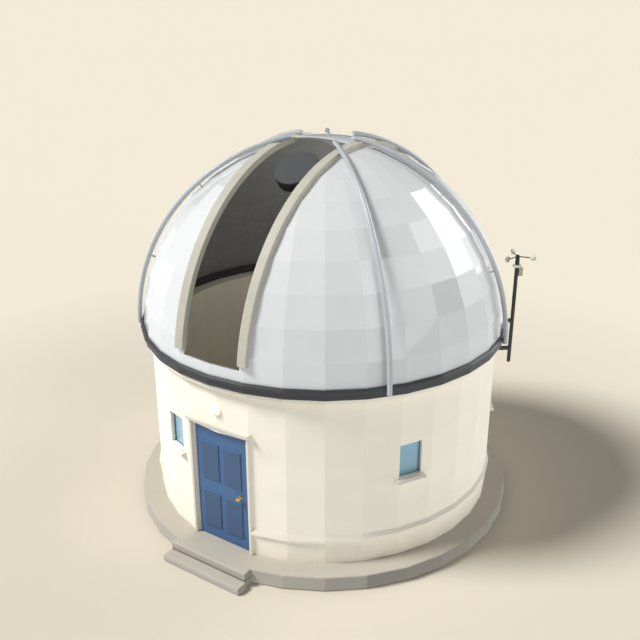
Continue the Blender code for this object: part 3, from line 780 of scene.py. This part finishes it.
def telescope():
    """A pale tube with a wide base ring and a trunnion, its dark shield and its cap."""
    tilt = radians(TUBE_ALTITUDE)
    along = Vector((0.0, -cos(tilt), sin(tilt)))
    back = TUBE_BACK
    tube = [(0.0, back), (TUBE_RADIUS - 0.01, back), (TUBE_RADIUS, back + 0.01)]
    tube += [(TUBE_RADIUS, back + 0.06), (TUBE_RADIUS - 0.006, back + 0.064)]
    tube += [(TUBE_RADIUS - 0.006, TUBE_FRONT - 0.01), (0.0, TUBE_FRONT - 0.01)]
    barrel = turned(tube, TUBE_PIVOT, along, 96)
    tip = TRUNNION_END
    axle = [(0.0, -tip), (0.046, -tip), (0.05, 0.004 - tip)]
    axle += [(0.05, tip - 0.004), (0.046, tip), (0.0, tip)]
    trunnion = turned(axle, TUBE_PIVOT, (1.0, 0.0, 0.0), 40)
    bm = join(barrel, trunnion)
    body = "telescope_tube"
    piece("telescope_tube_turned", bm, body, "tube_grey", ["telescope_tube"])
    wide = SHIELD_RADIUS
    start, end = TUBE_FRONT, SHIELD_FRONT
    shield = [(0.0, start), (wide - 0.012, start), (wide, start + 0.012)]
    shield += [(wide, end - 0.008), (wide - 0.008, end), (0.0, end)]
    bm = turned(shield, TUBE_PIVOT, along, 96)
    piece("dew_shield_turned", bm, body, "shield_black", ["dew_shield"])
    wide = SHIELD_RADIUS - 0.004
    cap = [(0.0, end + GAP), (wide, end + GAP)]
    cap += arc(0.012, wide - 0.012, CAP_FRONT - 0.012, 0.0, 90.0, 4)
    cap += [(0.0, CAP_FRONT)]
    bm = turned(cap, TUBE_PIVOT, along, 96)
    piece("lens_cap_turned", bm, body, "cap_grey", ["lens_cap"])
    soften("telescope_fork", "hub_black", 0.010, 2)


# Wind mast


def mast_point(z):
    return polar(MAST_REACH, MAST_AZIMUTH, z)


def mast():
    """A pole on two wall brackets, with a white collar and a small sensor near its top."""
    low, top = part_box("wind_mast")[0].z, MAST_TOP
    profile = arc(MAST_RADIUS, 0.0, low + MAST_RADIUS, -90.0, 0.0, 8)
    profile += [(MAST_RADIUS, top - 0.003), (MAST_RADIUS - 0.003, top), (0.0, top)]
    pole = turned(profile, mast_point(0.0), (0.0, 0.0, 1.0), 40)
    arms = []
    tall = BRACKET_HALF
    for z in BRACKET_HEIGHTS:
        arm = box((-0.025, -MAST_REACH, z - tall), (0.025, -WALL_FACE, z + tall))
        round_edges(arm, 0.005, 2)
        plate = box((-0.05, -WALL_FACE - 0.012, z - 0.075), (0.05, -WALL_FACE, z + 0.075))
        round_edges(plate, 0.004, 2)
        whole = join(arm, plate)
        bmesh.ops.transform(whole, matrix=turn(MAST_AZIMUTH), verts=whole.verts)
        arms.append(whole)
    bm = join(pole, *arms)
    piece("wind_mast_pole", bm, "building", "mast_dark", ["wind_mast"])
    bore = MAST_RADIUS + 0.0006
    rim = [(0.0, 0.0), (bore, 0.0), (bore, -0.015), (0.060, -0.013)]
    rim += [(0.082, 0.000), (0.088, 0.010), (0.082, 0.020), (0.046, 0.032)]
    rim += [(PIN_RADIUS, 0.032), (PIN_RADIUS, PIN_TOP), (0.0, PIN_TOP)]
    bm = turned(rim, mast_point(top + GAP), (0.0, 0.0, 1.0), 48)
    piece("mast_collar_disc", bm, "building", "collar_white", ["mast_collar"])
    soften("weather_sensor", "sensor_tan", 0.008, 3)


def wind_cups():
    """A round-topped hub, three arms, and three half-ball cups that face the same way round."""
    low, wide, bore = HUB_LOW, HUB_RADIUS, HUB_BORE
    hub = [(bore, low), (wide - 0.003, low), (wide, low + 0.004), (wide, HUB_SHOULDER)]
    hub += arc(wide, 0.0, HUB_SHOULDER, 10.0, 90.0, 8)
    hub += [(0.0, HUB_CEILING), (bore, HUB_CEILING), (bore, low)]
    core = turned(hub, mast_point(0.0), (0, 0, 1), 40)
    arms = []
    cups = []
    centre = mast_point(CUP_HEIGHT)
    for count in range(3):
        angle = CUP_ANGLE + 120.0 * count
        along = Vector((cos(radians(angle)), sin(radians(angle)), 0.0))
        reach = CUP_REACH - CUP_RADIUS + 0.006
        rod = [(0.0, 0.02), (0.009, 0.02), (0.009, reach), (0.0, reach)]
        arms.append(turned(rod, centre, along, 16))
        facing = Vector((-along.y, along.x, 0.0))
        cups.append(half_ball(centre + along * CUP_REACH, facing))
    bm = join(core, *arms)
    piece("cup_rotor_hub", bm, "wind_cups", "hub_black", ["cup_rotor"])
    piece("wind_cup_shells", join(*cups), "wind_cups", "cup_ivory")


def half_ball(centre, facing):
    """A cup: the outer half ball, back over the lip, and the inner half ball."""
    wall = 0.004
    profile = [(0.0, -CUP_RADIUS)]
    profile += arc(CUP_RADIUS, 0.0, 0.0, -80.0, 0.0, 12)
    profile += [(CUP_RADIUS - wall / 2, 0.002)]
    profile += arc(CUP_RADIUS - wall, 0.0, 0.0, 0.0, -80.0, 12)
    profile += [(0.0, wall - CUP_RADIUS)]
    return turned(profile, centre, facing, 32)


# The frame's own nodes


def finish_nodes():
    for node, item in frame["nodes"].items():
        item.data.materials.clear()
        item.data.materials.append(FINISHES[slot_of(node)])


# Stage


def place_light(name, light, source, distance, seen_by):
    """Hangs a light at the source's azimuth and elevation, looking back at the dome.

    seen_by holds the words of the surface kinds that it lights: diffuse, glossy.
    """
    azimuth, elevation = source
    item = bpy.data.objects.new(name, light)
    rise = radians(elevation)
    away = polar(cos(rise), azimuth, sin(rise))
    item.location = Vector((0.0, 0.0, 3.5)) + distance * away
    item.rotation_euler = away.to_track_quat("Z", "Y").to_euler()
    item.visible_camera = False
    item.visible_diffuse = "diffuse" in seen_by
    item.visible_glossy = "glossy" in seen_by
    bpy.context.scene.collection.objects.link(item)


def soft_sun(name, source, energy, spread, seen_by):
    """An even light from far away, as wide in the sky as its spread in degrees."""
    light = bpy.data.lights.new(name, "SUN")
    light.energy = energy
    light.angle = radians(spread)
    place_light(name, light, source, 20.0, seen_by)


def glow_panel(name, source, brightness, shape, across, up=None):
    """A softbox that only shows in gloss. across and up are its half widths in degrees."""
    distance = 30.0
    light = bpy.data.lights.new(name, "AREA")
    light.shape = shape
    light.size = 2 * distance * tan(radians(across))
    light.size_y = 2 * distance * tan(radians(up or across))
    area = light.size * light.size_y * (pi / 4 if shape == "DISK" else 1.0)
    light.energy = brightness * pi * area
    place_light(name, light, source, distance, "glossy")


def room_light():
    """A soft glow under the dome, so that the room shows through the slit."""
    light = bpy.data.lights.new("room", "POINT")
    light.energy = ROOM_WATTS
    light.shadow_soft_size = 0.5
    item = bpy.data.objects.new("room", light)
    item.location = ROOM_LAMP
    item.visible_camera = False
    item.visible_glossy = False
    bpy.context.scene.collection.objects.link(item)


def world():
    """Studio air: bright from below, where the pale floor throws light back up."""
    sky = bpy.data.worlds.new("studio_air")
    sky.use_nodes = True
    tree = sky.node_tree
    place = tree.nodes.new("ShaderNodeTexCoord")
    split = tree.nodes.new("ShaderNodeSeparateXYZ")
    ramp = tree.nodes.new("ShaderNodeMapRange")
    tree.links.new(place.outputs["Generated"], split.inputs[0])
    tree.links.new(split.outputs["Z"], ramp.inputs["Value"])
    ramp.inputs["From Min"].default_value = -0.02
    ramp.inputs["From Max"].default_value = 0.02
    ramp.inputs["To Min"].default_value = LIGHT_FROM_BELOW
    ramp.inputs["To Max"].default_value = LIGHT_FROM_ABOVE
    air = tree.nodes["Background"]
    air.inputs["Color"].default_value = (1.0, 1.0, 1.0, 1.0)
    sky.cycles.sampling_method = "NONE"
    tree.links.new(ramp.outputs["Result"], air.inputs["Strength"])
    bpy.context.scene.world = sky


def floor():
    """A wide pale floor with painted shade round the building, that throws no light back."""
    bm = bmesh.new()
    bmesh.ops.create_grid(bm, x_segments=1, y_segments=1, size=600.0)
    mesh = bpy.data.meshes.new("studio_floor")
    bm.to_mesh(mesh)
    bm.free()
    item = bpy.data.objects.new("studio_floor", mesh)
    item.location = (0.0, 0.0, -0.001)
    finish = Finish("studio_floor", roughness=1.0, specular_ior_level=0.0)
    reach = finish.length(finish.place(), (0.0, 0.0, 0.0))
    # Painted shade: the floor is darker within a few metres of the building.
    finish.set("Base Color", finish.blend(reach.ramp(5.5, 12.0), FLOOR_SHADED_NEAR, FLOOR_FAR))
    mesh.materials.append(finish.material)
    item.visible_diffuse = False
    item.visible_glossy = False
    bpy.context.scene.collection.objects.link(item)


def camera():
    lens = bpy.data.cameras.new("camera")
    lens.lens = LENS_MM
    lens.sensor_width = 36.0
    lens.clip_end = 2000.0
    item = bpy.data.objects.new("camera", lens)
    item.location = EYE
    item.rotation_euler = [radians(angle) for angle in EYE_TURN]
    bpy.context.scene.collection.objects.link(item)
    bpy.context.scene.camera = item


def stage():
    bpy.context.scene.view_settings.view_transform = "Standard"
    camera()
    world()
    floor()
    soft_sun("key", KEY_FROM, energy=3.93, spread=17.0, seen_by="diffuse")
    soft_sun("side_fill", SIDE_FROM, energy=0.81, spread=32.0, seen_by="diffuse")
    soft_sun("right_fill", RIGHT_FROM, energy=0.97, spread=50.0, seen_by="diffuse glossy")
    soft_sun("left_fill", LEFT_FROM, energy=0.33, spread=50.0, seen_by="diffuse glossy")
    glow_panel("key_glow", KEY_FROM, brightness=9.0, shape="DISK", across=13.0)
    glow_panel("side_glow", SIDE_FROM, brightness=2.6, shape="RECTANGLE", across=20.0, up=13.0)
    glow_panel("side_halo", HALO_FROM, brightness=1.8, shape="RECTANGLE", across=25.0, up=21.0)
    room_light()


def main():
    finish_nodes()
    dress_masonry()
    window_beads()
    door_leaf()
    lamp()
    soften("base_ring", "ring_dark", 0.005, 2, sharp=None)
    arch_beams()
    shutter()
    ribs()
    telescope()
    mast()
    wind_cups()
    stage()


main()
